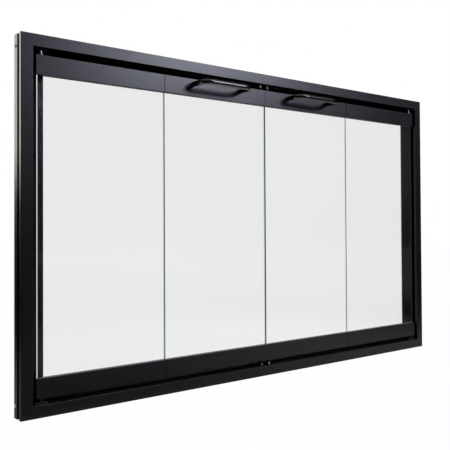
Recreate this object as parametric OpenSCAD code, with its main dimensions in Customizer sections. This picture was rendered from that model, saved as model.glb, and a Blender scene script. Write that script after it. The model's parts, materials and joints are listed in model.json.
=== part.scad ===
// Bi-fold fireplace glass door: a mitred black frame with two pairs of folding glass panels.
// X runs left to right, Y runs from the room into the fireplace, Z is up, all in millimetres.
// The origin is the middle of the bottom edge of the frame's rear face.
// Depths written d are measured from the frame's front face towards +Y,
// heights written a are measured inwards from the frame's outer edge.

/* [Frame] */
// Width of the frame over its outer edges
frame_w = 940; // [760:5:1200]
// Height of the frame over its outer edges
frame_h = 559; // [420:1:760]
// Depth of the frame, front face to rear face
frame_d = 26; // [25:0.5:34]
// Width of the front face of each frame member
face_w = 18.5; // [17.5:0.5:26]
// How far the rear flange reaches in from the outer edge
flange_reach = 42.5; // [38:0.5:50]
// Thickness of the rear flange
flange_t = 2.5; // [1.8:0.1:3]
// Wall of the frame extrusion around its chambers
frame_wall = 1.8; // [1.4:0.1:2.2]
// Radius on the long edges of frame and rails
edge_r = 0.6; // [0.3:0.1:1]
// Joint left open along each mitre
mitre_gap = 0.1; // [0.05:0.01:0.3]

/* [Outer groove] */
// Width of the groove that runs round the outside of the frame
groove_w = 7.8; // [7:0.1:9]
// Depth of that groove
groove_depth = 5; // [3:0.5:6]
// Distance of the groove behind the front face
groove_d = 6.7; // [5.5:0.1:8]

/* [Track] */
// Depth of the guide track, from the mouth to its floor
track_depth = 9; // [7:0.5:10]

/* [Doors] */
// Gap between the top member and the top rails
top_gap = 10.4; // [9.5:0.1:14]
// Gap between the bottom member and the bottom rails
bottom_gap = 8.4; // [8:0.1:12]
// Gap between a stile and the panel beside it
side_gap = 6; // [4.5:0.5:9]
// Gap between the two pairs of doors
centre_gap = 0.6; // [0.5:0.1:4]
// Gap between the two panels of a pair
fold_gap = 1; // [0.6:0.1:2]
// Distance of the panels behind the frame's front face
rail_recess = 3.5; // [2:0.5:6]
// Height of the top and bottom rails
rail_h = 29.5; // [27:0.5:40]
// Wall of the rail extrusion
rail_wall = 1.8; // [1.4:0.1:2.2]
// Height of the hollow chamber in each rail
chamber_h = 11.7; // [11:0.1:14]
// Thickness of the tempered glass
glass_t = 5; // [4:0.5:6]
// Chamfer ground on the bare glass edges
glass_arris = 0.6; // [0.2:0.1:0.8]
// How far the glass stops short of the rails beside a stile
glass_inset = 3; // [0:0.5:5]
// How far the glass stops short of the rails where the two pairs meet
glass_step = 0.8; // [0:0.1:1.5]
// Thickness of the glazing strip beside the glass
strip_t = 1.2; // [0.8:0.1:1.6]
// Thickness of the glazing strip under the glass edge
strip_base = 1.5; // [1:0.1:2.5]
// How far the glazing strip shows beyond the rail
strip_lip = 0.2; // [0.2:0.1:1.5]

/* [Pivots and guides] */
// Distance of the pivot and guide pins from the panel's end
pin_inset = 8.5; // [8:0.5:12]
// Radius of the spring-loaded top pivot pins
top_pin_r = 2.5; // [2:0.1:2.8]
// Radius of the bottom pivot pins
bottom_pin_r = 3; // [2.5:0.1:3.2]
// Radius of the guide studs
stud_r = 2.5; // [2:0.1:2.8]
// Radius of the nylon caps that run in the track
cap_r = 3.7; // [3.4:0.1:4]
// Length of each nylon cap
cap_len = 8.5; // [7:0.5:9]
// Length of each pivot socket along its frame member
socket_len = 21; // [16:1:26]
// How far a pivot socket stands out of its track
socket_out = 3; // [2:0.5:3.5]
// Depth of the pin hole in a pivot socket
socket_bore = 6.5; // [5:0.5:7]
// Travel of the spring-loaded top pivot pins
pin_travel = 6.2; // [6:0.1:6.6]
// Length of the blocks that hold the pins inside the rails
block_len = 15; // [12:1:16]
// Height of the lock nuts on the guide studs
nut_h = 4; // [3:0.5:4.5]
// Width of those nuts across their flats
nut_flats = 8; // [7:0.5:9]
// Wire radius of the pivot springs
wire_r = 0.35; // [0.25:0.05:0.4]
// Number of turns in each pivot spring
spring_turns = 4; // [3:1:5]

/* [Fold hinges] */
// Radius of the hinge knuckles
knuckle_r = 2.5; // [2.2:0.1:2.8]
// Radius of the hinge pins
hinge_pin_r = 1.2; // [1:0.1:1.4]
// Height of each fold hinge
hinge_h = 24; // [18:1:25]
// Width of each hinge leaf
leaf_w = 20; // [19:1:28]
// Thickness of each hinge leaf
leaf_t = 1.2; // [1:0.1:1.4]
// Shank radius of the hinge rivets
rivet_r = 1.6; // [1.2:0.1:2]

/* [Pulls] */
// Overall length of each pull
pull_len = 112; // [80:1:140]
// How far each pull stands out from its rail
pull_out = 37; // [34:0.5:45]
// Radius of the round bar that each pull is bent from
pull_r = 4.4; // [3.2:0.1:5]
// Bend radius of the pull at its centreline
pull_bend = 17; // [8:1:18]
// Distance from the rail's outer edge down to the pull's centre
pull_drop = 8.5; // [8:0.5:9]

/* [Fixings] */
// Height of the corner screws from the frame's outer edge
corner_screw_a = 17.5; // [10:0.5:24]
// Shank radius of the corner screws
corner_screw_r = 1.5; // [1.4:0.1:2]
// Length of each leg of the corner keys
key_leg = 60; // [45:1:80]
// Radius of the holes that take the jamb screws
jamb_hole_r = 2.5; // [2:0.1:3]
// Distance between the two jamb screw holes in a stile
jamb_hole_spacing = 360; // [280:10:420]
// Shank radius of the small machine screws
screw_r = 1.9; // [1.5:0.1:2]

/* [Hidden] */
$fn = 48;

// Finishes
black_coat = "#26272c";
black_oxide = "#17181a";
bright_zinc = "#c9cbce";
nylon = "#202123";
vinyl = "#8f9394";
clear_glass = [0.80, 0.86, 0.85, 0.35];

// Clearances
slip = 0.05;            // a pin in a bore that it turns in, or a screw in its thread
loose = 0.2;            // a screw or rivet in its through hole
seat = 0.1;             // a block in the channel that holds it
track_play = 0.3;       // each side of a nylon cap in the track
thrust = 0.1;           // between the bottom pivot's collar and its socket
knuckle_gap = 0.3;      // between neighbouring hinge knuckles
over = 1;               // how far a cut runs past the face that it opens

// Places that the frame and the doors share
half_w = frame_w / 2;
panel_start = -half_w + face_w + side_gap;
panel_w = (-centre_gap / 2 - panel_start - fold_gap) / 2;
fold_x = panel_start + panel_w + fold_gap / 2;
inner_start = fold_x + fold_gap / 2;
pivot_x = panel_start + pin_inset;
guide_x = -centre_gap / 2 - pin_inset;

// Wall between the front chamber and the guide track
track_skin = 1.2;
slot_w = glass_t + 2 * strip_t;
rail_t = slot_w + 2 * rail_wall;
pin_d = rail_recess + rail_t / 2;
rail_rear = rail_recess + rail_t;
web_top = chamber_h + 2 * rail_wall;
glass_sink = web_top + strip_base;

track_w = 2 * (cap_r + track_play);
track_floor = face_w - track_depth;
socket_top = face_w + socket_out;
// Nylon left between a socket's pin hole and its screw hole
socket_web = 1;
groove_end = groove_d + groove_w;
key_chamber_d = groove_end + frame_wall;
key_chamber_t = frame_d - flange_t - key_chamber_d;
key_chamber_w = face_w - 2 * frame_wall;
front_chamber_t = pin_d - track_w / 2 - track_skin - frame_wall;
// Socket screws and jamb holes, a little behind the pins so that they clear the groove's front wall
fixing_shift = 1;
fixing_d = pin_d + fixing_shift;
// Room left past the end of a pin or a screw
tip_room = 0.8;

hinge_d = rail_rear + knuckle_r + knuckle_gap;
knuckle_h = (hinge_h - 2 * knuckle_gap) / 3;
hinge_a = (rail_h - hinge_h) / 2;

pull_x = inner_start + panel_w / 2;
pull_legs = pull_len - 2 * pull_r;

screw_head_r = 1.8 * screw_r;
// How far the corner screws sit behind the middle of the key chamber
corner_screw_shift = 0.9;
corner_screw_d = key_chamber_d + key_chamber_t / 2 + corner_screw_shift;
corner_head_r = 1.8 * corner_screw_r;
corner_screw_len = 12;
tip_chamfer = 0.6;

// The place in Y of a depth behind the front face
function y_at(d) = d - frame_d;

// Points of a round corner, from one angle to another
function corner(cx, cy, r, from) =
    [for (i = [0:3]) [cx + r * cos(from + 30 * i), cy + r * sin(from + 30 * i)]];

// Rectangle with its low corner at the origin and softly rounded corners
module soft_square(w, h, r) {
    polygon(concat(
        corner(w - r, h - r, r, 0), corner(r, h - r, r, 90),
        corner(r, r, r, 180), corner(w - r, r, r, 270)));
}

// Turns a part drawn at the bottom edge over to the top edge
module at_top() {
    translate([0, 0, frame_h]) mirror([0, 0, 1]) children();
}

// Draws a part of the left pair on the right
module opposite() {
    mirror([1, 0, 0]) children();
}

// Extrudes a section drawn in depth and height along X
module along_x(x0, length) {
    translate([x0, 0, 0]) rotate([90, 0, 90]) linear_extrude(length) children();
}

// Upright round bar from one height to another
module post(x, d, a0, a1, r) {
    translate([x, y_at(d), a0]) cylinder(h = a1 - a0, r = r);
}

// Bar along X from one place to another
module bar_x(x0, x1, d, a, r) {
    translate([x0, y_at(d), a]) rotate([0, 90, 0]) cylinder(h = x1 - x0, r = r);
}

// Bar along Y from one depth to another
module bar_y(x, d0, d1, a, r) {
    translate([x, y_at(d0), a]) rotate([-90, 0, 0]) cylinder(h = d1 - d0, r = r);
}

// ---- Frame ----

// Section of a frame member: soft front edges, outer groove, guide track, key chamber, rear flange.
// Its rear edges are square.
module frame_section() {
    flange_lines = 3;
    line_w = 0.8;
    line_depth = 0.5;
    line_pitch = (flange_reach - face_w) / (flange_lines + 1);
    difference() {
        union() {
            translate([y_at(0), 0]) soft_square(frame_d, face_w, edge_r);
            translate([y_at(groove_end), 0]) square([frame_d - groove_end, face_w]);
            translate([y_at(frame_d - flange_t), face_w - frame_wall])
                square([flange_t, flange_reach - face_w + frame_wall]);
        }
        translate([y_at(groove_d), -over]) square([groove_w, groove_depth + over]);
        translate([y_at(pin_d - track_w / 2), track_floor]) square([track_w, track_depth + over]);
        translate([y_at(key_chamber_d), frame_wall]) square([key_chamber_t, key_chamber_w]);
        translate([y_at(frame_wall), frame_wall]) square([front_chamber_t, key_chamber_w]);
        for (i = [1:flange_lines])
            translate([y_at(frame_d - flange_t) - over, face_w + i * line_pitch - line_w / 2])
                square([line_depth + over, line_w]);
    }
}

// Frame member lying along the bottom edge, mitred at both ends
module frame_bar(length) {
    reach = flange_reach + over;
    foot = length / 2 - mitre_gap / 2;
    intersection() {
        along_x(-length / 2, length) frame_section();
        translate([0, over, 0]) rotate([90, 0, 0]) linear_extrude(frame_d + 2 * over)
            polygon([[-foot, 0], [foot, 0], [foot - reach, reach], [-foot + reach, reach]]);
    }
}

// Bottom or top member with the holes for the socket screws
module level_member() {
    difference() {
        frame_bar(frame_w);
        for (side = [-1, 1])
            post(side * pivot_x, fixing_d, groove_depth - over, track_floor + over, screw_r + loose);
    }
}

module bottom_frame_member() {
    color(black_coat) level_member();
}

module top_frame_member() {
    color(black_coat) at_top() level_member();
}

// Left stile with its corner screw holes and jamb screw holes
module left_frame_member() {
    color(black_coat) difference() {
        translate([-half_w, 0, frame_h / 2]) rotate([0, 90, 0]) frame_bar(frame_h);
        for (z = [corner_screw_a, frame_h - corner_screw_a])
            bar_x(-half_w - over, -half_w + frame_wall + over, corner_screw_d, z,
                corner_screw_r + loose);
        for (side = [-1, 1])
            bar_x(-half_w + groove_depth - over, -half_w + track_floor + over, fixing_d,
                frame_h / 2 + side * jamb_hole_spacing / 2, jamb_hole_r);
    }
}

module right_frame_member() {
    opposite() left_frame_member();
}

// L-shaped key inside the lower left corner, with the tapped hole for its screw
module corner_key() {
    low = frame_wall + seat;
    high = frame_wall + key_chamber_w - seat;
    difference() {
        translate([-half_w, y_at(key_chamber_d + key_chamber_t - seat), 0]) rotate([90, 0, 0])
            linear_extrude(key_chamber_t - 2 * seat)
                polygon([
                    [low, low], [key_leg, low], [key_leg, high],
                    [high, high], [high, key_leg], [low, key_leg]]);
        bar_x(-half_w, -half_w + corner_screw_len + tip_room, corner_screw_d, corner_screw_a,
            corner_screw_r + slip);
    }
}

module corner_keys() {
    color(bright_zinc) {
        corner_key();
        opposite() corner_key();
        at_top() corner_key();
        at_top() opposite() corner_key();
    }
}

// Low-headed screw through the stile into the corner key
module corner_screw() {
    head_h = 1.2;
    head_slope = 0.5;
    bar_x(-half_w, -half_w + corner_screw_len, corner_screw_d, corner_screw_a, corner_screw_r);
    translate([-half_w, y_at(corner_screw_d), corner_screw_a]) rotate([0, -90, 0])
        cylinder(h = head_h, r1 = corner_head_r, r2 = corner_head_r - head_slope);
}

module corner_screws() {
    color(bright_zinc) {
        corner_screw();
        opposite() corner_screw();
        at_top() corner_screw();
        at_top() opposite() corner_screw();
    }
}

// Nylon block in the track with a blind hole for a pivot pin
module pivot_socket(pin_r) {
    difference() {
        translate([pivot_x - socket_len / 2, y_at(pin_d - track_w / 2 + seat), track_floor])
            cube([socket_len, track_w - 2 * seat, socket_top - track_floor]);
        post(pivot_x, pin_d, socket_top - socket_bore, socket_top + over, pin_r + slip);
        post(pivot_x, fixing_d, track_floor - over, socket_top - socket_bore - socket_web, screw_r + slip);
    }
}

module left_bottom_pivot_socket() {
    color(nylon) pivot_socket(bottom_pin_r);
}

module left_top_pivot_socket() {
    color(nylon) at_top() pivot_socket(top_pin_r);
}

module right_bottom_pivot_socket() {
    opposite() left_bottom_pivot_socket();
}

module right_top_pivot_socket() {
    opposite() left_top_pivot_socket();
}

// Screw from the outer groove into a pivot socket
module socket_screw() {
    head_h = 2;
    tip = socket_top - socket_bore - socket_web - tip_chamfer;
    head_r = min(screw_head_r, fixing_d - groove_d - seat);
    post(pivot_x, fixing_d, groove_depth - head_h, groove_depth, head_r);
    post(pivot_x, fixing_d, groove_depth, tip, screw_r);
}

module socket_screws() {
    color(black_oxide) {
        socket_screw();
        opposite() socket_screw();
        at_top() socket_screw();
        at_top() opposite() socket_screw();
    }
}

// ---- Rails, glass and glazing strips ----

// Section of a rail, its outer edge at height 0: pin chamber above, glass slot below
module rail_section() {
    translate([y_at(rail_recess), 0]) difference() {
        soft_square(rail_t, rail_h, edge_r);
        translate([rail_wall, rail_wall]) square([slot_w, chamber_h]);
        translate([rail_wall, web_top]) square([slot_w, rail_h]);
    }
}

// Rail along the bottom edge of one panel, with a pin hole and its hinge rivet holes
module rail(x0, gap, pin_x, hole_r, hinge_side) {
    a = face_w + gap;
    difference() {
        translate([0, 0, a]) along_x(x0, panel_w) rail_section();
        post(pin_x, pin_d, a - over, a + rail_wall + over, hole_r);
        for (x = rivet_places(hinge_side))
            bar_y(x, rail_rear - rail_wall - over, rail_rear + over, a + rivet_a, rivet_r + slip);
    }
}

// Glass of one panel from one place to another, its long edges chamfered
module glass_plate(x0, x1) {
    low = face_w + bottom_gap + glass_sink;
    high = frame_h - face_w - top_gap - glass_sink;
    w = x1 - x0;
    c = glass_arris;
    translate([x0, y_at(pin_d) - glass_t / 2, low]) linear_extrude(high - low)
        polygon([
            [c, 0], [w - c, 0], [w, c], [w, glass_t - c],
            [w - c, glass_t], [c, glass_t], [0, glass_t - c], [0, c]]);
}

// U-shaped glazing strip between a rail and the glass
module glazing_strip(x0, gap) {
    translate([0, 0, face_w + gap + web_top]) along_x(x0, panel_w) difference() {
        translate([y_at(pin_d) - slot_w / 2, 0]) square([slot_w, rail_h - web_top + strip_lip]);
        translate([y_at(pin_d) - glass_t / 2, strip_base]) square([glass_t, rail_h]);
    }
}

module left_outer_glass() {
    color(clear_glass) glass_plate(panel_start + glass_inset, panel_start + panel_w);
}

module left_outer_bottom_rail() {
    color(black_coat) rail(panel_start, bottom_gap, pivot_x, bottom_pin_r + loose, -1);
}

module left_outer_top_rail() {
    color(black_coat) at_top() rail(panel_start, top_gap, pivot_x, bush_neck_r + slip, -1);
}

module left_outer_glazing_strips() {
    color(vinyl) {
        glazing_strip(panel_start, bottom_gap);
        at_top() glazing_strip(panel_start, top_gap);
    }
}

module left_inner_glass() {
    color(clear_glass) glass_plate(inner_start, inner_start + panel_w - glass_step);
}

module left_inner_bottom_rail() {
    color(black_coat) rail(inner_start, bottom_gap, guide_x, stud_r + loose, 1);
}

// Top rail of the inner panel, which also carries the pull
module left_inner_top_rail() {
    a = face_w + top_gap + pull_drop;
    color(black_coat) at_top() difference() {
        rail(inner_start, top_gap, guide_x, stud_r + loose, 1);
        for (side = [-1, 1]) {
            bar_y(pull_x + side * pull_legs / 2, rail_recess - over, pin_d, a, screw_r + loose);
            bar_y(pull_x + side * pull_legs / 2, pin_d, rail_rear + over, a, screw_head_r + loose);
        }
    }
}

module left_inner_glazing_strips() {
    color(vinyl) {
        glazing_strip(inner_start, bottom_gap);
        at_top() glazing_strip(inner_start, top_gap);
    }
}

module right_outer_glass() {
    opposite() left_outer_glass();
}

module right_outer_bottom_rail() {
    opposite() left_outer_bottom_rail();
}

module right_outer_top_rail() {
    opposite() left_outer_top_rail();
}

module right_outer_glazing_strips() {
    opposite() left_outer_glazing_strips();
}

module right_inner_glass() {
    opposite() left_inner_glass();
}

module right_inner_bottom_rail() {
    opposite() left_inner_bottom_rail();
}

module right_inner_top_rail() {
    opposite() left_inner_top_rail();
}

module right_inner_glazing_strips() {
    opposite() left_inner_glazing_strips();
}

// ---- Pivots ----

bush_wall = 0.9;
bush_neck_r = top_pin_r + bush_wall;
bush_collar = 1;
bush_out = 3;
pin_flange_h = 1.5;
// How far the fixed pins and studs reach into their rail
pin_root = rail_wall + chamber_h - tip_room;
top_rail_a = face_w + top_gap;
bottom_rail_a = face_w + bottom_gap;
spring_low = top_rail_a + rail_wall + pin_flange_h;
spring_high = top_rail_a + rail_wall + chamber_h;

// Collared bush on the top rail that guides the sprung pin
module left_top_pin_bush() {
    color(bright_zinc) at_top() difference() {
        union() {
            post(pivot_x, pin_d, top_rail_a - bush_out, top_rail_a, bush_neck_r + bush_collar);
            post(pivot_x, pin_d, top_rail_a, top_rail_a + rail_wall, bush_neck_r);
        }
        post(pivot_x, pin_d, top_rail_a - bush_out - over, top_rail_a + rail_wall + over, top_pin_r + slip);
    }
}

// Sprung pin: shank in the socket, flange under the rail wall, stub inside the spring
module left_top_pivot_pin() {
    tip = socket_top - socket_bore + tip_room;
    stub_room = 2;
    stub_h = spring_high - spring_low - pin_travel - stub_room;
    flange_a = top_rail_a + rail_wall;
    color(bright_zinc) at_top() {
        post(pivot_x, pin_d, tip + tip_chamfer, flange_a + pin_flange_h, top_pin_r);
        translate([pivot_x, y_at(pin_d), tip])
            cylinder(h = tip_chamfer, r1 = top_pin_r - tip_chamfer, r2 = top_pin_r);
        post(pivot_x, pin_d, flange_a, flange_a + pin_flange_h, bush_neck_r);
        post(pivot_x, pin_d, flange_a, flange_a + pin_flange_h + stub_h, spring_r - wire_r - loose);
    }
}

// Compression spring between the pin's flange and the rail's web
spring_r = top_pin_r;
spring_sides = 6;
spring_rings = 8 * spring_turns;
spring_rise = spring_high - spring_low - 2 * wire_r;
spring_left = (spring_rise - pin_travel) / spring_turns - 2 * wire_r;
echo("gap between the spring's turns when the pin is pushed in", spring_left);

function spring_point(i, j) =
    let (turn = 360 * i * spring_turns / spring_rings, side = 360 * j / spring_sides,
        reach = spring_r + wire_r * cos(side))
    [pivot_x + reach * cos(turn), y_at(pin_d) + reach * sin(turn),
        spring_low + wire_r + spring_rise * i / spring_rings + wire_r * sin(side)];

module left_pin_spring() {
    points = [for (i = [0:spring_rings], j = [0:spring_sides - 1]) spring_point(i, j)];
    first = [for (j = [0:spring_sides - 1]) j];
    last = [for (j = [spring_sides - 1:-1:0]) spring_rings * spring_sides + j];
    sides = [for (i = [0:spring_rings - 1], j = [0:spring_sides - 1])
        let (k = (j + 1) % spring_sides, low = i * spring_sides, high = low + spring_sides)
        each [[low + j, high + j, high + k], [low + j, high + k, low + k]]];
    color(bright_zinc) at_top() polyhedron(points, concat([first, last], sides));
}

// Block that holds a pin inside a rail
module pin_block(x, gap, pin_r) {
    a = face_w + gap + rail_wall;
    difference() {
        translate([x - block_len / 2, y_at(pin_d) - slot_w / 2 + slip, a + slip])
            cube([block_len, slot_w - 2 * slip, chamber_h - 2 * slip]);
        post(x, pin_d, a - over, a + chamber_h + over, pin_r + slip);
    }
}

module left_bottom_pin_block() {
    color(bright_zinc) pin_block(pivot_x, bottom_gap, bottom_pin_r);
}

// Bottom pivot pin with the collar that carries the door on its socket
module left_bottom_pivot_pin() {
    collar_r = 1.5 * bottom_pin_r;
    color(black_oxide) {
        post(pivot_x, pin_d, socket_top - socket_bore + tip_room, bottom_rail_a + pin_root, bottom_pin_r);
        post(pivot_x, pin_d, socket_top + thrust, bottom_rail_a, collar_r);
    }
}

module right_top_pin_bush() {
    opposite() left_top_pin_bush();
}

module right_top_pivot_pin() {
    opposite() left_top_pivot_pin();
}

module right_pin_spring() {
    opposite() left_pin_spring();
}

module right_bottom_pin_block() {
    opposite() left_bottom_pin_block();
}

module right_bottom_pivot_pin() {
    opposite() left_bottom_pivot_pin();
}

// ---- Guides ----

cap_out = 1;
cap_mouth = face_w + cap_out;
cap_wall = 1.3;
cap_chamfer = 0.8;

// Stud from its block in the rail up into the nylon cap
module guide_stud(gap) {
    post(guide_x, pin_d, cap_mouth - cap_len + cap_wall, face_w + gap + pin_root, stud_r);
}

// Lock nut with a thin flange, seated on the rail
module guide_nut(gap) {
    a = face_w + gap;
    flange_h = 1;
    flange_r = 1.25 * nut_flats / 2;
    difference() {
        union() {
            translate([guide_x, y_at(pin_d), a - nut_h])
                cylinder(h = nut_h, d = nut_flats / cos(30), $fn = 6);
            post(guide_x, pin_d, a - flange_h, a, flange_r);
        }
        post(guide_x, pin_d, a - nut_h - over, a + over, stud_r + slip);
    }
}

// Nylon cap with a chamfered end that runs in the track
module guide_cap() {
    end = cap_mouth - cap_len;
    difference() {
        union() {
            post(guide_x, pin_d, end + cap_chamfer, cap_mouth, cap_r);
            translate([guide_x, y_at(pin_d), end])
                cylinder(h = cap_chamfer, r1 = cap_r - cap_chamfer, r2 = cap_r);
        }
        post(guide_x, pin_d, end + cap_wall, cap_mouth + over, stud_r + slip);
    }
}

module left_guide_blocks() {
    color(bright_zinc) {
        pin_block(guide_x, bottom_gap, stud_r);
        at_top() pin_block(guide_x, top_gap, stud_r);
    }
}

module left_guide_studs() {
    color(bright_zinc) {
        guide_stud(bottom_gap);
        at_top() guide_stud(top_gap);
    }
}

module left_guide_nuts() {
    color(black_oxide) {
        guide_nut(bottom_gap);
        at_top() guide_nut(top_gap);
    }
}

module left_guide_caps() {
    color(nylon) {
        guide_cap();
        at_top() guide_cap();
    }
}

module right_guide_blocks() {
    opposite() left_guide_blocks();
}

module right_guide_studs() {
    opposite() left_guide_studs();
}

module right_guide_nuts() {
    opposite() left_guide_nuts();
}

module right_guide_caps() {
    opposite() left_guide_caps();
}

// ---- Fold hinges, on the rear of the rails ----

rivet_a = rail_wall + chamber_h / 2;
rivet_head_r = 1.7 * rivet_r;
rivet_head_h = 0.8;
rivet_tail_r = 1.3 * rivet_r;
rivet_tail_h = 1.2;
rivet_pitch = 9;
// Distance from the end of a leaf to its outer rivet
rivet_inset = 4;

// The two rivets of a leaf, on the outer panel (-1) or the inner panel (1)
function rivet_places(side) =
    [for (shift = [0, rivet_pitch]) fold_x + side * (leaf_w - rivet_inset - shift)];

// One leaf at a given rail: side -1 has the two end knuckles, side 1 has the middle one
module hinge_leaf(side, gap) {
    low = face_w + gap + hinge_a;
    step = knuckle_h + knuckle_gap;
    own = side < 0 ? [0, 2] : [1];
    other = side < 0 ? [1] : [0, 2];
    difference() {
        union() {
            translate([side < 0 ? fold_x - leaf_w : fold_x, y_at(rail_rear), low])
                cube([leaf_w, leaf_t, hinge_h]);
            for (k = own)
                post(fold_x, hinge_d, low + k * step, low + k * step + knuckle_h, knuckle_r);
        }
        for (k = other)
            post(fold_x, hinge_d, low + k * step - knuckle_gap, low + (k + 1) * step,
                knuckle_r + knuckle_gap);
        post(fold_x, hinge_d, low - over, low + hinge_h + over, hinge_pin_r + slip);
        for (x = rivet_places(side))
            bar_y(x, rail_rear - over, rail_rear + leaf_t + over, face_w + gap + rivet_a, rivet_r + slip);
    }
}

// Pin of one hinge with a small head at each end
module hinge_pin(gap) {
    low = face_w + gap + hinge_a;
    head_h = 0.7;
    head_r = 1.5 * hinge_pin_r;
    post(fold_x, hinge_d, low - head_h, low + hinge_h + head_h, hinge_pin_r);
    post(fold_x, hinge_d, low - head_h, low - slip, head_r);
    post(fold_x, hinge_d, low + hinge_h + slip, low + hinge_h + head_h, head_r);
}

// Blind rivets of one leaf: low head behind the leaf, formed tail inside the rail
module hinge_rivets(side, gap) {
    a = face_w + gap + rivet_a;
    back = rail_rear + leaf_t;
    inside = rail_rear - rail_wall;
    for (x = rivet_places(side)) {
        bar_y(x, inside - rivet_tail_h, back, a, rivet_r);
        bar_y(x, inside - rivet_tail_h, inside, a, rivet_tail_r);
        translate([x, y_at(back), a]) rotate([-90, 0, 0])
            cylinder(h = rivet_head_h, r1 = rivet_head_r, r2 = rivet_head_r - rivet_head_h);
    }
}

module left_outer_hinge_leaves() {
    color(black_oxide) {
        hinge_leaf(-1, bottom_gap);
        at_top() hinge_leaf(-1, top_gap);
    }
}

module left_inner_hinge_leaves() {
    color(black_oxide) {
        hinge_leaf(1, bottom_gap);
        at_top() hinge_leaf(1, top_gap);
    }
}

module left_hinge_pins() {
    color(bright_zinc) {
        hinge_pin(bottom_gap);
        at_top() hinge_pin(top_gap);
    }
}

module left_outer_hinge_rivets() {
    color(black_oxide) {
        hinge_rivets(-1, bottom_gap);
        at_top() hinge_rivets(-1, top_gap);
    }
}

module left_inner_hinge_rivets() {
    color(black_oxide) {
        hinge_rivets(1, bottom_gap);
        at_top() hinge_rivets(1, top_gap);
    }
}

module right_outer_hinge_leaves() {
    opposite() left_outer_hinge_leaves();
}

module right_inner_hinge_leaves() {
    opposite() left_inner_hinge_leaves();
}

module right_hinge_pins() {
    opposite() left_hinge_pins();
}

module right_outer_hinge_rivets() {
    opposite() left_outer_hinge_rivets();
}

module right_inner_hinge_rivets() {
    opposite() left_inner_hinge_rivets();
}

// ---- Pulls ----

pull_screw_len = 11;

// Half of a pull: one leg, its bend and half of the grip
module pull_half() {
    grip_d = rail_recess - pull_out + pull_r;
    bend_d = grip_d + pull_bend;
    leg_x = -pull_legs / 2;
    bar_y(leg_x, bend_d, rail_recess, 0, pull_r);
    translate([leg_x + pull_bend, y_at(bend_d), 0]) rotate([0, 0, 180])
        rotate_extrude(angle = 90) translate([pull_bend, 0]) circle(pull_r);
    bar_x(leg_x + pull_bend, 0, grip_d, 0, pull_r);
}

// Pull bent from one round bar, with a tapped hole in the foot of each leg
module left_pull() {
    color(black_coat) difference() {
        translate([pull_x, 0, frame_h - top_rail_a - pull_drop]) {
            pull_half();
            mirror([1, 0, 0]) pull_half();
        }
        for (side = [-1, 1])
            bar_y(pull_x + side * pull_legs / 2, rail_recess - pull_screw_len - over, rail_recess + over,
                frame_h - top_rail_a - pull_drop, screw_r + slip);
    }
}

// Screws from inside the rail's chamber into the pull's legs
module left_pull_screws() {
    seat_d = rail_recess + rail_wall;
    head_h = 2.2;
    color(bright_zinc) for (side = [-1, 1]) {
        x = pull_x + side * pull_legs / 2;
        z = frame_h - top_rail_a - pull_drop;
        bar_y(x, rail_recess - pull_screw_len, seat_d, z, screw_r);
        bar_y(x, seat_d, seat_d + head_h, z, screw_head_r);
    }
}

module right_pull() {
    opposite() left_pull();
}

module right_pull_screws() {
    opposite() left_pull_screws();
}

top_frame_member();
bottom_frame_member();
left_frame_member();
right_frame_member();
corner_keys();
corner_screws();
socket_screws();
left_top_pivot_socket();
left_bottom_pivot_socket();
right_top_pivot_socket();
right_bottom_pivot_socket();
left_outer_glass();
left_outer_top_rail();
left_outer_bottom_rail();
left_outer_glazing_strips();
left_top_pin_bush();
left_top_pivot_pin();
left_pin_spring();
left_bottom_pivot_pin();
left_bottom_pin_block();
left_outer_hinge_leaves();
left_hinge_pins();
left_outer_hinge_rivets();
left_inner_glass();
left_inner_top_rail();
left_inner_bottom_rail();
left_inner_glazing_strips();
left_guide_blocks();
left_guide_studs();
left_guide_nuts();
left_guide_caps();
left_inner_hinge_leaves();
left_inner_hinge_rivets();
left_pull();
left_pull_screws();
right_outer_glass();
right_outer_top_rail();
right_outer_bottom_rail();
right_outer_glazing_strips();
right_top_pin_bush();
right_top_pivot_pin();
right_pin_spring();
right_bottom_pivot_pin();
right_bottom_pin_block();
right_outer_hinge_leaves();
right_hinge_pins();
right_outer_hinge_rivets();
right_inner_glass();
right_inner_top_rail();
right_inner_bottom_rail();
right_inner_glazing_strips();
right_guide_blocks();
right_guide_studs();
right_guide_nuts();
right_guide_caps();
right_inner_hinge_leaves();
right_inner_hinge_rivets();
right_pull();
right_pull_screws();
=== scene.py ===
import json
import math

import bpy
import numpy as np
from mathutils import Matrix, Vector


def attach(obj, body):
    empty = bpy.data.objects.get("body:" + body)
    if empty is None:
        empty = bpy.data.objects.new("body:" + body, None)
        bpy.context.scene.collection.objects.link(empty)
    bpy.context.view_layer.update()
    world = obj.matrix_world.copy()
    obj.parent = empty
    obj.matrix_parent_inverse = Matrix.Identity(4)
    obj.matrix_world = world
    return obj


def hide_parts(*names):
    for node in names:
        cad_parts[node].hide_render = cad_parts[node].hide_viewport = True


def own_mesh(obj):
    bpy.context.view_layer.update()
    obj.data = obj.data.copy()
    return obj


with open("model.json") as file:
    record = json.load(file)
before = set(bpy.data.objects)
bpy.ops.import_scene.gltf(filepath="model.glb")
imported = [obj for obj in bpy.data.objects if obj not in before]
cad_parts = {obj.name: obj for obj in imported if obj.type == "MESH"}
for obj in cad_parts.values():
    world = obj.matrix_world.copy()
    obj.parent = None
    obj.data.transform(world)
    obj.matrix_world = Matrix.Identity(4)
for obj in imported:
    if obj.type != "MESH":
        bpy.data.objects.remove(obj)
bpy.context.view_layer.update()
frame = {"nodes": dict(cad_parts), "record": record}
NODES = frame["nodes"]
MM = 0.001


# ---- Camera: metres, millimetres on the sensor, degrees ----

CAMERA_PLACE = (-0.829425, -0.960803, 0.278508)
YAW, PITCH, ROLL = 37.968, 0.944, 0.284
SENSOR_WIDTH, FOCAL_LENGTH = 36, 53.637
SHIFT_Y = -0.02424
CLIP_START, CLIP_END = 0.05, 50


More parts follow.
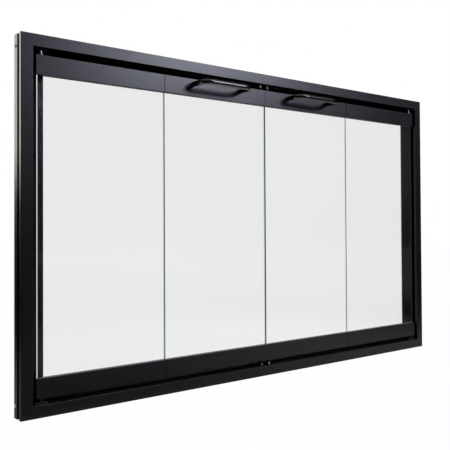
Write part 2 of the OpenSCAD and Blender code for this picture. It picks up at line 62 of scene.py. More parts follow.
def place_camera():
    """Pinhole camera: it looks along a yaw from +Y towards +X and a small pitch, then rolls about
    that line. Its vertical shift puts the principal point above the middle of the picture."""
    yaw, pitch, roll = (math.radians(angle) for angle in (YAW, PITCH, ROLL))
    forward = Vector((math.sin(yaw) * math.cos(pitch), math.cos(yaw) * math.cos(pitch),
                      math.sin(pitch)))
    level = Vector((math.cos(yaw), -math.sin(yaw), 0))
    down = forward.cross(level)
    right = math.cos(roll) * level + math.sin(roll) * down
    up = math.sin(roll) * level - math.cos(roll) * down
    data = bpy.data.cameras.new("camera")
    data.sensor_width = SENSOR_WIDTH
    data.lens = FOCAL_LENGTH
    data.shift_y = SHIFT_Y
    data.clip_start, data.clip_end = CLIP_START, CLIP_END
    camera = bpy.data.objects.new("camera", data)
    turn = Matrix((right, up, -forward)).transposed().to_4x4()
    camera.matrix_world = Matrix.Translation(CAMERA_PLACE) @ turn
    bpy.context.scene.collection.objects.link(camera)
    bpy.context.scene.camera = camera


place_camera()
bpy.context.scene.view_settings.view_transform = "Standard"


# ---- Shader maths ----

BLACK, WHITE = (0, 0, 0, 1), (1, 1, 1, 1)


class Value:
    """A number that varies over a surface. Operators on it add Math nodes."""

    def __init__(self, tree, socket):
        self.tree, self.socket = tree, socket

    def math(self, operation, *terms):
        node = self.tree.add("ShaderNodeMath", {"operation": operation}, terms)
        return self.tree.value(node.outputs[0])

    def __add__(self, other):
        return self.math("ADD", self, other)

    def __rsub__(self, other):
        return self.math("SUBTRACT", other, self)

    def __mul__(self, other):
        return self.math("MULTIPLY", self, other)

    def __abs__(self):
        return self.math("ABSOLUTE", self)

    __radd__, __rmul__ = __add__, __mul__

    def larger(self, other):
        """The larger of this and another number."""
        return self.math("MAXIMUM", self, other)

    def below(self, limit):
        """1 below a limit, 0 from there on."""
        return self.math("LESS_THAN", self, limit)

    def above(self, low, high):
        """0 below low, 1 above high, and a smooth step between."""
        node = self.tree.add("ShaderNodeMapRange", {"interpolation_type": "SMOOTHSTEP"},
                             Value=self, From_Min=low, From_Max=high)
        return self.tree.value(node.outputs["Result"])


class Tree:
    """A node tree with one method that adds any node from its settings and sockets' values."""

    def __init__(self, node_tree):
        self.node_tree = node_tree

    def add(self, kind, settings=None, values=(), **sockets):
        """A node of some kind: its settings come first, then values for its first sockets, in
        their order, then values by socket name, where an underscore stands for a space."""
        node = self.node_tree.nodes.new(kind)
        for name, value in (settings or {}).items():
            setattr(node, name, value)
        for slot, value in zip(node.inputs, values):
            self.feed(slot, value)
        for name, value in sockets.items():
            self.feed(node.inputs[name.replace("_", " ")], value)
        return node

    def feed(self, slot, value):
        """Links a Value or another node's socket to a slot, or sets the slot to a constant."""
        if isinstance(value, Value):
            self.node_tree.links.new(value.socket, slot)
        elif isinstance(value, bpy.types.NodeSocket):
            self.node_tree.links.new(value, slot)
        else:
            slot.default_value = value

    def value(self, socket):
        """A socket as a number that the operators work on."""
        return Value(self, socket)

    def part(self, vector, axis):
        """One coordinate of a vector."""
        return self.value(self.add("ShaderNodeSeparateXYZ", Vector=vector).outputs[axis])

    def blend(self, factor, first, second):
        """Mix of two colours, whose sockets share their names with others and go by number."""
        node = self.add("ShaderNodeMix", {"data_type": "RGBA"})
        for number, value in ((0, factor), (6, first), (7, second)):
            self.feed(node.inputs[number], value)
        return node.outputs[2]

    def mix(self, factor, first, second):
        """Mix of two shaders."""
        values = (factor, first.outputs[0], second.outputs[0])
        return self.add("ShaderNodeMixShader", values=values).outputs[0]

    def seen(self):
        """Four masks for the way of a ray since it left the camera.

        plain: straight, or through glass alone. in_pane: out of a pane in which it was reflected.
        returning: out through glass after it was reflected behind it. mirrored: off a pane's face.
        """
        path = self.add("ShaderNodeLightPath").outputs
        camera = self.value(path["Is Camera Ray"])
        through = self.value(path["Is Transmission Ray"])
        bounces = self.value(path["Glossy Depth"]) + self.value(path["Diffuse Depth"])
        straight = bounces.below(0.5)
        two_faces = self.value(path["Transmission Depth"]).below(2.5)
        reflected = through * (1 - straight)
        plain = camera.larger(through * straight)
        mirrored = self.value(path["Is Glossy Ray"]) * self.value(path["Is Singular Ray"])
        return plain, reflected * two_faces, reflected * (1 - two_faces), mirrored


class Finish(Tree):
    """A material under way: constants go straight onto its surface shader, patterns are linked."""

    def __init__(self, name, **constants):
        self.material = bpy.data.materials.new(name)
        self.material.use_nodes = True
        super().__init__(self.material.node_tree)
        self.surface = self.node_tree.nodes["Principled BSDF"]
        self.place = self.add("ShaderNodeTexCoord").outputs["Object"]
        self.set(**constants)

    def set(self, **sockets):
        """Feeds sockets of the surface shader."""
        for name, value in sockets.items():
            self.feed(self.surface.inputs[name.replace("_", " ")], value)

    def noise(self, scale, detail, stretch=(1, 1, 1)):
        """Noise from 0 to 1. scale is in waves per metre along an axis stretched by 1, detail is
        how many finer waves lie on them, and stretch multiplies the object's coordinates."""
        place = self.add("ShaderNodeMapping", Vector=self.place, Scale=stretch).outputs["Vector"]
        node = self.add("ShaderNodeTexNoise", Vector=place, Scale=scale, Detail=detail)
        return self.value(node.outputs["Fac"])

    def bump(self, height, distance):
        """Bump from a height of 0 to 1 that stands for a distance in metres."""
        node = self.add("ShaderNodeBump", Height=height, Distance=distance)
        self.set(Normal=node.outputs["Normal"])


# ---- Finishes; places in metres, from the middle of the frame or above the floor ----

STRIP_END = (0.4395, 0.441)     # the open ends of the glazing strips, left and right
OUTER_EDGE = (0.43, 0.435)      # past these, a pane's edge is one of the two beside the stiles
OVER_RAIL = (0.054, 0.057)      # where the panes leave the bottom rails
UNDER_RAIL = (0.500, 0.503)     # where they enter the top rails
DIE_LINES = {"x": (0.02, 1, 1), "z": (1, 1, 0.02), "none": (1, 1, 1)}


def black_coat(name, along, gloss=0.0, ior=1.5):
    """Satin black coat on extruded aluminium: faint die lines along the profile under a fine
    orange peel. gloss is taken off the roughness."""
    f = Finish(name, IOR=ior)
    peel = f.noise(900, 2)
    lines = f.noise(2200, 3, DIE_LINES[along])
    cloud = f.noise(14, 3)
    f.set(Roughness=0.27 - gloss + 0.05 * cloud + 0.04 * peel)
    f.set(Base_Color=f.blend(cloud, (0.0035, 0.0035, 0.004, 1), (0.0055, 0.0055, 0.006, 1)))
    f.bump(0.7 * peel + 0.3 * lines, 0.000004)
    return f.material


def black_oxide():
    """Blackened steel: near black, a little worn to grey in cloudy patches."""
    f = Finish("black_oxide", Metallic=0.85, IOR=1.5)
    cloud = f.noise(240, 4)
    worn = cloud.above(0.45, 0.75)
    f.set(Base_Color=f.blend(worn, (0.018, 0.018, 0.019, 1), (0.05, 0.048, 0.046, 1)))
    f.set(Roughness=0.36 + 0.16 * cloud)
    f.bump(f.noise(1800, 2), 0.000006)
    return f.material


def bright_zinc(name, tone):
    """Zinc on turned steel, of a mean tone from 0 to 1: fine turning rings across the axis and a
    light cloudiness, bluish where it is darker."""
    f = Finish(name, Metallic=1.0)
    cloud = f.noise(160, 3)
    darker = (0.9 * tone, 0.92 * tone, 0.95 * tone, 1)
    lighter = (1.1 * tone, 1.08 * tone, 1.05 * tone, 1)
    f.set(Base_Color=f.blend(cloud, darker, lighter))
    f.set(Roughness=0.42 + 0.14 * cloud)
    f.bump(f.noise(2600, 2, (0.15, 0.15, 1)), 0.000005)
    return f.material


def nylon():
    """Moulded black nylon with a fine spark-eroded grain."""
    f = Finish("nylon", IOR=1.32)
    grain = f.noise(1500, 3)
    f.set(Base_Color=f.blend(f.noise(90, 2), (0.004, 0.004, 0.0045, 1),
                             (0.007, 0.007, 0.0075, 1)))
    f.set(Roughness=0.46 + 0.16 * grain)
    f.bump(grain, 0.00001)
    return f.material


def vinyl():
    """Pale grey glazing vinyl, ribbed very finely along the strip where it was drawn. Its pale
    grey is partly the vinyl's own and partly painted light, standing in for the bounce that lights
    its lips under the rails. In its open ends it is painted near black as shade."""
    f = Finish("vinyl", IOR=1.5)
    ribs = f.noise(1900, 2, (0.03, 1, 1))
    # pale grey: partly the vinyl's own tone, partly painted light for the bounce under the rails
    pale_and_painted_light = f.blend(f.noise(60, 2), (0.40, 0.42, 0.42, 1), (0.46, 0.47, 0.47, 1))
    # painted shade: the strip's open ends are painted near black
    painted_shade_end = abs(f.part(f.place, "X")).above(*STRIP_END)
    f.set(Base_Color=f.blend(painted_shade_end, pale_and_painted_light, (0.01, 0.01, 0.01, 1)))
    f.set(Roughness=0.55 + 0.2 * ribs)
    f.bump(ribs, 0.000008)
    return f.material


def clear_glass():
    """Clear tempered glass, nearly colourless through its faces. Its upright edges are ground, and
    look dark grey-green from outside the pane, with a faint painted glow in their emission. The
    two beside the stiles glow brightly between the rails: painted light, an emission that stands
    in for the light that the panes carry there."""
    f = Finish("clear_glass", IOR=1.5, Roughness=0.0, Transmission_Weight=1.0)
    f.set(Base_Color=f.blend(f.noise(6, 2), (0.880, 0.888, 0.890, 1), (0.886, 0.894, 0.896, 1)))
    grain = f.noise(1400, 3)
    outermost = abs(f.part(f.place, "X")).above(*OUTER_EDGE)
    height = f.part(f.place, "Z")
    bare = height.above(*OVER_RAIL) * (1 - height.above(*UNDER_RAIL))
    sideways = abs(f.part(f.add("ShaderNodeTexCoord").outputs["Normal"], "X"))
    outside = 1 - f.value(f.add("ShaderNodeNewGeometry").outputs["Backfacing"])
    # painted light: the two outermost edges glow with emission between the rails
    glow = sideways.above(0.85, 0.95) * outermost * bare * outside * (0.85 + 0.1 * grain)
    # painted light: a faint emission glow on the other ground edges
    dim = f.blend(outermost, (0.030, 0.048, 0.043, 1), (0.006, 0.010, 0.009, 1))
    ground = f.add(
        "ShaderNodeBsdfPrincipled", IOR=1.5, Emission_Strength=1.0,
        Base_Color=f.blend(grain, (0.010, 0.014, 0.012, 1), (0.030, 0.038, 0.034, 1)),
        Roughness=0.5 + 0.2 * grain, Emission_Color=f.blend(glow, dim, (0.72, 0.74, 0.76, 1)))
    seen_ground = sideways.above(0.3, 0.6) * outside.larger(outermost)
    f.feed(f.node_tree.nodes["Material Output"].inputs["Surface"],
           f.mix(seen_ground, f.surface, ground))
    return f.material


FINISHES = {
    "black_coat": black_coat("black_coat", "none"),
    "black_coat_level": black_coat("black_coat_level", "x"),
    "black_coat_upright": black_coat("black_coat_upright", "z"),
    "pull_coat": black_coat("pull_coat", "none", gloss=0.09, ior=1.75),
    "black_oxide": black_oxide(),
    "bright_zinc": bright_zinc("bright_zinc", 0.41),
    # a lighter copy of the zinc for the corner screws and guide studs: its higher tone is painted
    # light, for light the lamps don't give them
    "painted_light_zinc": bright_zinc("painted_light_zinc", 0.75),
    "dull_zinc": bright_zinc("dull_zinc", 0.21),
    "nylon": nylon(),
    "vinyl": vinyl(),
    "clear_glass": clear_glass(),
}
SLOT_OF = {s["node"]: s["material_slot"] for s in frame["record"]["subparts"]}
BODY_OF = {node: body for body, nodes in frame["record"]["behaviour"]["bodies"].items()
           for node in nodes}


def finish_of(node):
    """The finish of a CAD node: its record slot, with the coat's die lines along each profile."""
    if node in ("left_frame_member", "right_frame_member"):
        return FINISHES["black_coat_upright"]
    if node.endswith(("_frame_member", "_rail")):
        return FINISHES["black_coat_level"]
    return FINISHES[SLOT_OF[node]]


for cad_name, cad_object in NODES.items():
    cad_object.data.materials.clear()
    cad_object.data.materials.append(finish_of(cad_name))


# ---- Shapes ----

def rounded(corners, radius, steps=4):
    """Outline with its inner corners eased: each corner P between A and B becomes the quadratic
    curve that leaves at most radius before P, towards A, ends as far after it, towards B, and has
    P as its middle control point."""
    corners = np.array(corners, float)
    out = [corners[0]]
    for before, here, after in zip(corners, corners[1:], corners[2:]):
        lengths = np.linalg.norm([before - here, after - here], axis=1)
        cut = min(radius, 0.45 * lengths.min())
        first = here + (before - here) * cut / lengths[0]
        last = here + (after - here) * cut / lengths[1]
        t = np.linspace(0, 1, steps + 1)[:, None]
        out.extend((1 - t) ** 2 * first + 2 * t * (1 - t) * here + t ** 2 * last)
    out.append(corners[-1])
    return np.array(out)


def circle(radius):
    """Radius of a circle at every angle."""
    return lambda angle: np.full_like(angle, radius)


def hexagon(flats):
    """Radius of a hexagon at each angle: half the width across flats over the cosine of the angle
    from a flat."""
    sector = math.pi / 3
    return lambda angle: flats / 2 / np.cos((angle + sector / 2) % sector - sector / 2)


def soft_oblong(width, depth, power=14):
    """Radius of a rectangle with soft corners: |x / a| to a power plus |y / b| to that power is
    1, where a and b are half its width and depth."""
    return lambda angle: ((2 * np.abs(np.cos(angle)) / width) ** power
                          + (2 * np.abs(np.sin(angle)) / depth) ** power) ** (-1 / power)


def rings(levels, around=48, centre=(0, 0)):
    """Rings about Z: ring i has the radius that its outline gives at each angle, and lies at
    height z_i."""
    angle = np.linspace(0, 2 * np.pi, around, endpoint=False)
    r = np.array([outline(angle) for outline, z in levels])
    z = np.array([z for outline, z in levels], float)[:, None]
    return np.stack([centre[0] + r * np.cos(angle), centre[1] + r * np.sin(angle), z + 0 * r], -1)


def turned(profile, around=48):
    """Surface of revolution of a profile of (radius, height) about Z."""
    return rings([(circle(r), z) for r, z in profile], around)


def threaded(radius, low, high, pitch=0.8, depth=0.36, taper=0.7, around=28, per_turn=8):
    """Right-hand screw thread on a stud: the radius falls by depth in the roots. As
    z / pitch - angle / turn goes through one whole number, the share of depth that is left
    standing rises from 0 to 1, stays there for a fifth of it, and falls again. Over the last
    stretch of length taper, each end narrows at 45 degrees."""
    count = int((high - low) / pitch * per_turn)
    z = np.linspace(low, high, count)[:, None]
    angle = np.linspace(0, 2 * np.pi, around, endpoint=False)
    phase = (z / pitch - angle / (2 * np.pi)) % 1
    standing = np.clip(1.25 - 2.5 * np.abs(phase - 0.5), 0, 1)
    ends = np.minimum(np.minimum(z - low, high - z) / taper, 1)
    r = np.minimum(radius - depth * (1 - standing), radius - taper * (1 - ends))
    return np.stack([r * np.cos(angle), r * np.sin(angle), z + 0 * r], -1)


def nut(flats, height, bore, flange_r, flange_h):
    """Flanged hexagon nut from z = 0, its outer face, to z = height, its seat: the outline at each
    height is the smaller of the hexagon and the 30 degree chamfer cone, and the larger of that
    and the flange. Its bore has a lead-in at both ends."""
    lead = 0.3
    face_r = 0.94 * flats / 2
    corner_r = flats / 2 / math.cos(math.pi / 6)
    hexa = hexagon(flats)
    capped = [(lambda a, c=c: np.minimum(hexa(a), c), (c - face_r) * math.tan(math.radians(30)))
              for c in np.linspace(face_r, corner_r, 6)]
    seat = height - flange_h
    swell = [(lambda a, c=c: np.maximum(hexa(a), c), seat - 0.25 * (1 - k))
             for k, c in ((0, flats / 2), (0.6, flats / 2 + 0.3), (1, corner_r))]
    rim = [(circle(r), z) for r, z in rounded(
        [(corner_r, seat), (flange_r, seat + 0.45 * flange_h), (flange_r, height),
         (bore + lead, height), (bore, height - lead)], 0.15)[1:]]
    mouth = [(circle(bore), lead), (circle(bore + lead), 0)]
    return rings(mouth + capped + swell + rim, 72)


def socket_head(head, shank_r, tip, key, key_depth):
    """Screw along Z with its seat at z = 0 and its head above: from the pole in the hexagon
    recess, over the eased profile of the head, down the shank to the pole at the tip, which is
    cut at 45 degrees. The recess has the hexagon's outline."""
    tip_cut = 0.6
    top = head[0][1]
    recess = [(hexagon(key), top - key_depth), (hexagon(key), top - 0.15),
              (hexagon(key + 0.3), top)]
    shank = [(shank_r, 0), (shank_r, tip + tip_cut), (shank_r - tip_cut, tip)]
    outer = [(circle(r), z) for r, z in rounded([(key * 0.72, top)] + head + shank, 0.35)]
    return rings(recess + outer)


def swept(path, radius, around, sunk):
    """Round bar along a path in the XY plane: the ring at each point is spanned by Z and by the
    path's normal, a quarter turn from the direction between its neighbours, and has the radius
    given there. sunk is the radius and depth of a blind hole in each end, whose rings, with a
    lead-in, come before and after the bar's own."""
    lead_depth, lead = 0.4, 0.3
    path, radius = np.array(path, float), np.array(radius, float)
    along = np.gradient(path, axis=0)
    along /= np.linalg.norm(along, axis=1)[:, None]
    along[0], along[-1] = along[1], along[-2]
    hole_r, depth = sunk
    start = [path[0] + along[0] * depth, path[0] + along[0] * lead_depth, path[0]]
    finish = [path[-1], path[-1] - along[-1] * lead_depth, path[-1] - along[-1] * depth]
    path = np.vstack([start, path, finish])
    radius = np.concatenate([[hole_r, hole_r, hole_r + lead], radius,
                             [hole_r + lead, hole_r, hole_r]])
    along = np.vstack([[along[0]] * 3, along, [along[-1]] * 3])
    normal = np.stack([-along[:, 1], along[:, 0]], -1)
    angle = np.linspace(0, 2 * np.pi, around, endpoint=False)
    side = (radius[:, None] * np.cos(angle))[..., None] * normal[:, None, :]
    flat = path[:, None, :] + side
    return np.concatenate([flat, (radius[:, None] * np.sin(angle))[..., None]], -1)


def stand(points, at, axis):
    """Turns a shape made about Z so that its Z runs along an axis, and moves it to a point, all
    in millimetres."""
    turn = {"+z": ((1, 0, 0), (0, 1, 0), (0, 0, 1)), "-z": ((1, 0, 0), (0, -1, 0), (0, 0, -1)),
            "+x": ((0, 0, 1), (1, 0, 0), (0, 1, 0)), "-x": ((0, 0, -1), (-1, 0, 0), (0, 1, 0)),
            "+y": ((1, 0, 0), (0, 0, 1), (0, -1, 0))}[axis]
    return points @ np.array(turn, float).T + np.array(at, float)


def skin(grid, looped):
    """Corners and faces of a grid of rings. Looped, the last ring joins the first; otherwise each
    end closes in a pole at the middle of its ring. The faces are turned round if the volume that
    they enclose is negative."""
    rows, around = grid.shape[:2]
    points = grid.reshape(-1, 3)
    here = np.arange(rows if looped else rows - 1)[:, None] * around
    above = (here + around) % (rows * around)
    i = np.arange(around)
    j = (i + 1) % around
    quads = np.stack([here + i, here + j, above + j, above + i], -1).reshape(-1, 4)
    fans = np.zeros((0, 3), int)
    if not looped:
        poles = len(points) + np.array([0, 1])
        points = np.vstack([points, grid[0].mean(0), grid[-1].mean(0)])
        last = (rows - 1) * around
        fans = np.vstack([np.stack([j, i, np.full(around, poles[0])], -1),
                          np.stack([last + i, last + j, np.full(around, poles[1])], -1)])
    triangles = np.vstack([quads[:, :3], quads[:, [0, 2, 3]], fans])
    a, b, c = (points[triangles[:, k]] for k in range(3))
    if np.einsum("ij,ij->i", a, np.cross(b, c)).sum() < 0:
        quads, fans = quads[:, ::-1], fans[:, ::-1]
    return points, quads, fans


def piece(name, shells, node, finish=None, sharp=32):
    """One object from shells, each a grid of rings in millimetres and whether it is looped: it
    replaces a CAD node and rides on that node's body. Edges that turn by more than sharp degrees
    are kept crisp."""
    points, faces, start = [], [], 0
    for grid, looped in shells:
        p, quads, fans = skin(grid, looped)
        points.append(p)
        faces += (quads + start).tolist() + (fans + start).tolist()
        start += len(p)
    mesh = bpy.data.meshes.new(name)
    mesh.from_pydata((np.vstack(points) * MM).tolist(), [], faces)
    mesh.polygons.foreach_set("use_smooth", np.ones(len(mesh.polygons), bool))
    mesh.set_sharp_from_angle(angle=math.radians(sharp))
    mesh.materials.append(FINISHES[finish or SLOT_OF[node]])
    body = bpy.data.objects.new(name, mesh)
    bpy.context.scene.collection.objects.link(body)
    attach(body, BODY_OF[node])
    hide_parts(node)
    return body


# ---- Small parts, in millimetres; heights named a run in from the frame's outer edge ----

EDGES = ("bottom", "top")
FRAME_H = 559
STILE_X, PIVOT_X, GUIDE_X, FOLD_X, PULL_X = 470, 437, 8.8, 222.9, 111.35
PIN_Y, SCREW_Y, KEY_Y, HINGE_Y, LEAF_Y, RAIL_Y = -17, -16, -5.2, -8.7, -10.3, -22.5
RAIL_A = {"bottom": 26.9, "top": 28.9}
CORNER_SCREW_A, TRACK_FLOOR_A = 17.5, 5
STUD_A, STUD_IN_RAIL = 12.3, 12.7
HINGE_PIN_IN_RAIL, RIVET_IN_RAIL = 2.75, 7.65
RIVETS_FROM_FOLD = (7, 16)
PULL_H, PULL_LEG_X, PULL_SCREW_Y = 521.6, 51.6, -20.7
TOP_PIN_R, BOTTOM_PIN_R, STUD_R = 2.5, 3.0, 2.5


def over_floor(a, edge):
    """Height above the floor of a height a from the bottom or the top edge."""
    return a if edge == "bottom" else FRAME_H - a


def from_edge(points, x, y, edge, looped=False):
    """Shell of a shape whose Z is its height a, from the bottom edge, or turned over, from the
    top edge."""
    return stand(points, (x, y, over_floor(0, edge)), "-z" if edge == "top" else "+z"), looped


def pivot_socket(pin_r, screw_side):
    """Moulded block with eased edges: rings run from the screw hole's floor, over its back, sides
    and front, and down the pin hole with its lead-in. screw_side is the side, along Y, to which
    the screw hole is set off."""
    length, width, back, front, floor = 21.0, 7.8, 9.5, 21.5, 15.0
    hole_r, around = 1.95, 96
    hole = [(circle(hole_r), 14), (circle(hole_r), 9.9), (circle(hole_r + 0.25), back)]
    ease = [(soft_oblong(length - 2 * c, width - 2 * c), h)
            for c, h in ((0.5, 0), (0.15, 0.15), (0, 0.5))]
    low = [(outline, back + h) for outline, h in ease]
    high = [(outline, front - h) for outline, h in ease[::-1]]
    bore = [(circle(r), a) for r, a in rounded(
        [(pin_r + 1.2, front), (pin_r + 0.6, front), (pin_r + 0.05, front - 0.9),
         (pin_r + 0.05, floor)], 0.3)]
    return np.concatenate([rings(hole, around, (0, screw_side)), rings(low + high + bore, around)])


def pull_bar():
    """Round bar bent twice: a straight leg, a quarter circle and half the grip, mirrored, its feet
    eased."""
    r, bend, leg, grip_y = 4.4, 17.0, PULL_LEG_X, -55.1
    down = np.concatenate([[0, 0.15, 0.5], np.linspace(1.5, RAIL_Y - grip_y - bend, 6)])
    straight = np.stack([np.full(len(down), -leg), RAIL_Y - down], -1)
    turn = np.radians(np.linspace(180, 270, 17))[1:]
    curve = np.stack([bend - leg + bend * np.cos(turn), grip_y + bend + bend * np.sin(turn)], -1)
    half = np.vstack([straight, curve])
    grip_x = np.linspace(bend - leg, leg - bend, 14)[1:-1]
    grip = np.stack([grip_x, np.full(len(grip_x), grip_y)], -1)
    path = np.vstack([half, grip, half[::-1] * (-1, 1)])
    radius = np.full(len(path), r)
    radius[[0, -1]] -= 0.4
    radius[[1, -2]] -= 0.1
    return swept(path, radius, 40, sunk=(1.95, 12.0))


def rivet():
    """Blind rivet along Z, its seat at z = 0: a low dome with the broken mandrel's pit, and the
    formed tail."""
    return turned(rounded(
        [(0.3, 0.3), (0.55, 0.3), (0.65, 0.72), (1.1, 0.8), (2.1, 0.62), (2.72, 0.1), (2.72, 0),
         (1.6, 0), (1.6, -3), (2.08, -3), (2.08, -3.9), (1.2, -4.2), (0.5, -4.2)], 0.16), 36)


def top_pin_bush():
    """Collared bush with a turned groove, its bore open at both ends."""
    return turned(rounded(
        [(2.55, 29.5), (2.55, 26.2), (2.85, 25.9), (4.4, 25.9), (4.4, 27.2), (4.15, 27.35),
         (4.15, 27.65), (4.4, 27.8), (4.4, 28.9), (3.4, 28.9), (3.4, 30.65), (2.75, 30.65),
         (2.55, 30.45)], 0.18))


def top_pin():
    """Sprung pin with a domed nose, its flange and the stub that centres the spring."""
    return turned(rounded(
        [(0.8, 15.8), (1.8, 15.95), (TOP_PIN_R, 16.7), (TOP_PIN_R, 30.7), (3.4, 30.7),
         (3.4, 32.2), (1.95, 32.2), (1.95, 34.2), (1, 34.2)], 0.25))


def coil(low, high, radius, wire, turns):
    """Compression spring between two heights, of a wire's radius: at the share s of its way the
    wire's middle is at the angle turns * s of a turn, and has climbed s - 0.06 sin(2 pi s) of its
    rise, so that the end coils lie closer."""
    per_turn, around = 24, 10
    s = np.linspace(0, 1, turns * per_turn + 1)[:, None]
    angle = 2 * np.pi * turns * s
    section = np.linspace(0, 2 * np.pi, around, endpoint=False)
    reach = radius + wire * np.cos(section)
    climb = (high - low - 2 * wire) * (s - 0.06 * np.sin(2 * np.pi * s))
    return np.stack([reach * np.cos(angle), reach * np.sin(angle),
                     low + wire + climb + wire * np.sin(section)], -1)


def bottom_pin():
    """Fixed pin with a domed nose and the grooved collar that the door turns on."""
    return turned(rounded(
        [(0.9, 15.8), (2.2, 15.95), (BOTTOM_PIN_R, 16.8), (BOTTOM_PIN_R, 21.6), (4.5, 21.6),
         (4.5, 23.6), (4.2, 23.8), (4.2, 24.2), (4.5, 24.4), (4.5, 26.9), (BOTTOM_PIN_R, 26.9),
         (BOTTOM_PIN_R, 39.2), (2.6, 39.6), (1, 39.6)], 0.25))


def guide_cap():
    """Nylon cap: its closed end is eased, and the bore that takes the stud has a lead-in."""
    return turned(rounded(
        [(1.5, 11), (2.7, 11), (3.7, 11.9), (3.7, 19.5), (2.95, 19.5), (2.55, 19.1),
         (2.55, STUD_A)], 0.35))


def hinge_pin(a):
    """Pin of a fold hinge from the height a, peened over into a small domed head at each end."""
    return turned(rounded(
        [(0.5, a - 0.7), (1.4, a - 0.68), (1.8, a - 0.3), (1.8, a - 0.05), (1.2, a - 0.05),
         (1.2, a + 24.05), (1.8, a + 24.05), (1.8, a + 24.3), (1.4, a + 24.68),
         (0.5, a + 24.7)], 0.15), 32)


def frame_screws():
    """The coned corner screws in the stiles and the socket screws in the outer groove."""
    corner = socket_head([(1.5, 1.2), (2.65, 0.05), (2.7, 0)], shank_r=1.5, tip=-12,
                         key=1.6, key_depth=0.7)
    fixing = socket_head([(2.8, 2), (3.2, 1.6), (3.2, 0)], shank_r=1.9, tip=-8.4,
                         key=2.5, key_depth=1.3)
    corners, fixings = [], []
    for side in (-1, 1):
        for edge in EDGES:
            place = (side * STILE_X, KEY_Y, over_floor(CORNER_SCREW_A, edge))
            corners.append((stand(corner, place, "-x" if side < 0 else "+x"), False))
            place = (side * PIVOT_X, SCREW_Y, over_floor(TRACK_FLOOR_A, edge))
            fixings.append((stand(fixing, place, "-z" if edge == "bottom" else "+z"), False))
    piece("corner_screws_detail", corners, "corner_screws", "painted_light_zinc")
    piece("socket_screws_detail", fixings, "socket_screws")


def door_pieces(name, side):
    """Every small part of one pair of doors: name is its name's first word, side is -1 on the
    left, 1 on the right."""
    pivot, guide, fold, pull = (side * x for x in (PIVOT_X, GUIDE_X, FOLD_X, PULL_X))

    def make(kind, shells, finish=None, sharp=32):
        """The piece that replaces this pair's CAD node of a kind."""
        return piece(f"{name}_{kind}_detail", shells, f"{name}_{kind}", finish, sharp)

    make("top_pivot_socket", [from_edge(pivot_socket(TOP_PIN_R, -1), pivot, PIN_Y, "top")])
    make("bottom_pivot_socket", [from_edge(pivot_socket(BOTTOM_PIN_R, 1), pivot, PIN_Y, "bottom")])
    make("top_pin_bush", [from_edge(top_pin_bush(), pivot, PIN_Y, "top", True)], "dull_zinc")
    make("top_pivot_pin", [from_edge(top_pin(), pivot, PIN_Y, "top")])
    low, high, travel = 32.2, 42.4, 6.2
    wound = coil(low, high, radius=2.5, wire=0.35, turns=4)
    spring = make("pin_spring", [from_edge(wound, pivot, PIN_Y, "top")])
    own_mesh(spring)
    make("bottom_pivot_pin", [from_edge(bottom_pin(), pivot, PIN_Y, "bottom")])

    studs = {edge: threaded(STUD_R, STUD_A, RAIL_A[edge] + STUD_IN_RAIL) for edge in EDGES}
    make("guide_studs", [from_edge(studs[edge], guide, PIN_Y, edge) for edge in EDGES],
         "painted_light_zinc", 60)
    height = 4
    lock_nut = nut(flats=8, height=height, bore=2.55, flange_r=5, flange_h=1) - (0, 0, height)
    make("guide_nuts", [from_edge(lock_nut + (0, 0, RAIL_A[edge]), guide, PIN_Y, edge, True)
                        for edge in EDGES], sharp=25)
    make("guide_caps", [from_edge(guide_cap(), guide, PIN_Y, edge) for edge in EDGES])

    make("hinge_pins", [from_edge(hinge_pin(RAIL_A[edge] + HINGE_PIN_IN_RAIL), fold, HINGE_Y, edge)
                        for edge in EDGES])
    for kind, way in (("outer_hinge_rivets", 1), ("inner_hinge_rivets", -1)):
        heights = {edge: over_floor(RAIL_A[edge] + RIVET_IN_RAIL, edge) for edge in EDGES}
        make(kind, [(stand(rivet(), (fold + side * way * out, LEAF_Y, heights[edge]), "+y"), False)
                    for edge in EDGES for out in RIVETS_FROM_FOLD])

    make("pull", [(pull_bar() + (pull, 0, PULL_H), False)], "pull_coat")
    screw = socket_head([(2.9, 2.2), (3.42, 1.6), (3.42, 0)], shank_r=1.9, tip=-12.8,
                        key=2.5, key_depth=1.3)
    make("pull_screws", [(stand(screw, (pull + leg, PULL_SCREW_Y, PULL_H), "+y"), False)
                         for leg in (-PULL_LEG_X, PULL_LEG_X)])


frame_screws()
door_pieces("left", -1)
door_pieces("right", 1)


# ---- Floor, backdrop and light, in metres ----

FLOOR_REACH = 6.0
# the floor's white for the camera, and the faint painted glow of its far right end in the panes'
# mirrors
FLOOR_WHITE, FLOOR_PAINTED_SHEEN = 0.993, 0.12
SOFTBOX_CENTRE, SOFTBOX_AIM = (2.13, -3.07, 2.05), (-0.1, 0, 0.5)
SOFTBOX_STRENGTH, SOFTBOX_COLOUR = 18.0, (0.80, 0.82, 1.0)
SOFTBOX_RIM, SOFTBOX_CORE = 0.2, 0.14       # radians off its middle, for rays through glass


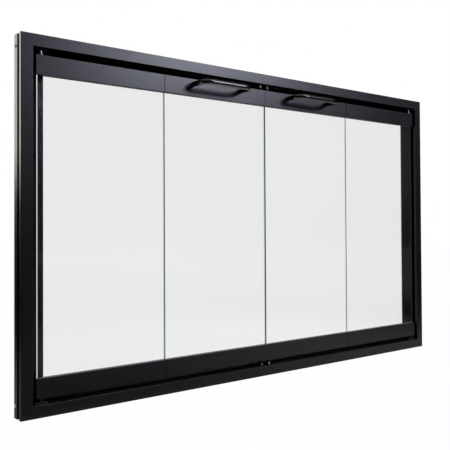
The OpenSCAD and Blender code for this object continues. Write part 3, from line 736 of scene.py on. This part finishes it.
def studio_ground():
    """White floor. The camera sees it as plain white, also through glass, and the panes' faces
    mirror its far right end, where a faint painted glow stands in for light there. The paper that
    light falls on is painted darker with its distance from the object, and in front of the left
    half, as painted shade."""
    mesh = bpy.data.meshes.new("floor")
    corners = FLOOR_REACH * np.array([[-1, -1, 0], [1, -1, 0], [1, 1, 0], [-1, 1, 0]], float)
    mesh.from_pydata(corners.tolist(), [], [[0, 1, 2, 3]])
    floor = bpy.data.objects.new("floor", mesh)
    bpy.context.scene.collection.objects.link(floor)
    material = bpy.data.materials.new("floor_white")
    material.use_nodes = True
    t = Tree(material.node_tree)
    t.node_tree.nodes.clear()
    place = t.add("ShaderNodeTexCoord").outputs["Object"]
    length = t.add("ShaderNodeVectorMath", {"operation": "LENGTH"}, Vector=place)
    away = t.value(length.outputs["Value"]).above(0.38, 1.05)
    left = 1 - t.part(place, "X").above(-0.3, 0.35)
    front = t.part(place, "Y") * -1
    # painted shade: the paper's colour darkens away from the object and in front of the left half
    painted_light = (1 - away) * (1 - 0.66 * left * front.above(0.0, 0.08))
    paper = t.add("ShaderNodeBsdfDiffuse",
                  Color=t.blend(painted_light, (0.02, 0.02, 0.02, 1), (0.8, 0.8, 0.8, 1)))
    white = t.add("ShaderNodeEmission", Color=WHITE, Strength=1.0)
    plain, in_pane, _, mirrored = t.seen()
    behind = 1 - front.above(-0.01, 0.01)
    far_right = t.part(place, "X").above(0.8, 1.6)
    # painted reflection: the far right end glows faintly for rays mirrored off the panes
    share = (plain + in_pane * behind) * FLOOR_WHITE + mirrored * far_right * FLOOR_PAINTED_SHEEN
    t.add("ShaderNodeOutputMaterial", Surface=t.mix(share, paper, white))
    mesh.materials.append(material)


def studio_world():
    """White behind the object for the camera, dim studio walls for everything else, a little
    brighter where the panes' faces mirror them on the right.

    Lamps don't shine in through glass, so a patch of the sky and a soft glow stand in for them
    there.
    """
    world = bpy.data.worlds.new("studio")
    bpy.context.scene.world = world
    world.use_nodes = True
    t = Tree(world.node_tree)
    t.node_tree.nodes.clear()
    direction = t.add("ShaderNodeTexCoord").outputs["Generated"]
    height = t.part(direction, "Z")
    behind = t.part(direction, "Y").above(-0.01, 0.01)
    right = t.part(direction, "X").above(0.5, 0.8) * (1 - behind)
    plain, in_pane, returning, mirrored = t.seen()
    walls = 0.005 + 0.5 * height.above(0.5, 1.0)
    soft_glow = returning * (0.06 + 0.2 * height.above(-0.1, 0.3))
    veil = mirrored * right * (0.06 + 0.06 * height.above(0.0, 0.06))
    shade = t.blend(walls + soft_glow + veil, BLACK, WHITE)
    backdrop = t.blend(plain + in_pane * behind, shade, WHITE)
    to_softbox = (Vector(SOFTBOX_CENTRE) - Vector(SOFTBOX_AIM)).normalized()
    facing = t.add("ShaderNodeVectorMath", {"operation": "DOT_PRODUCT"}, (direction, to_softbox))
    patch = returning * t.value(facing.outputs["Value"]).above(math.cos(SOFTBOX_RIM),
                                                               math.cos(SOFTBOX_CORE))
    glow = [SOFTBOX_STRENGTH * c for c in SOFTBOX_COLOUR] + [1]
    sky = t.add("ShaderNodeBackground", Strength=1.0, Color=t.blend(patch, backdrop, glow))
    t.add("ShaderNodeOutputWorld", Surface=sky.outputs[0])


def softbox(name, centre, aim, size, strength, colour):
    """Rectangular area lamp at a point, facing another. Its strength is its radiance, which fixes
    its power. The camera and rays through glass don't see it."""
    lamp = bpy.data.lights.new(name, "AREA")
    lamp.shape = "RECTANGLE"
    lamp.size, lamp.size_y = size
    lamp.energy = strength * math.pi * size[0] * size[1]
    lamp.color = colour
    holder = bpy.data.objects.new(name, lamp)
    holder.location = centre
    holder.rotation_mode = "QUATERNION"
    holder.rotation_quaternion = (Vector(aim) - Vector(centre)).to_track_quat("-Z", "Y")
    holder.visible_camera = False
    holder.visible_transmission = False
    bpy.context.scene.collection.objects.link(holder)


studio_ground()
studio_world()
softbox("front_softbox", SOFTBOX_CENTRE, SOFTBOX_AIM, size=(1.1, 1.3),
        strength=SOFTBOX_STRENGTH, colour=SOFTBOX_COLOUR)
softbox("floor_fill", centre=(0.34, -0.75, 1.5), aim=(0.14, -0.3, 0), size=(0.5, 0.5),
        strength=5.2, colour=(1.0, 0.98, 1.0))
softbox("rear_panel", centre=(-1.3, 1.9, 1.1), aim=(-0.4, 0, 0.5), size=(1.6, 1.2),
        strength=3.2, colour=(1.0, 0.98, 0.96))
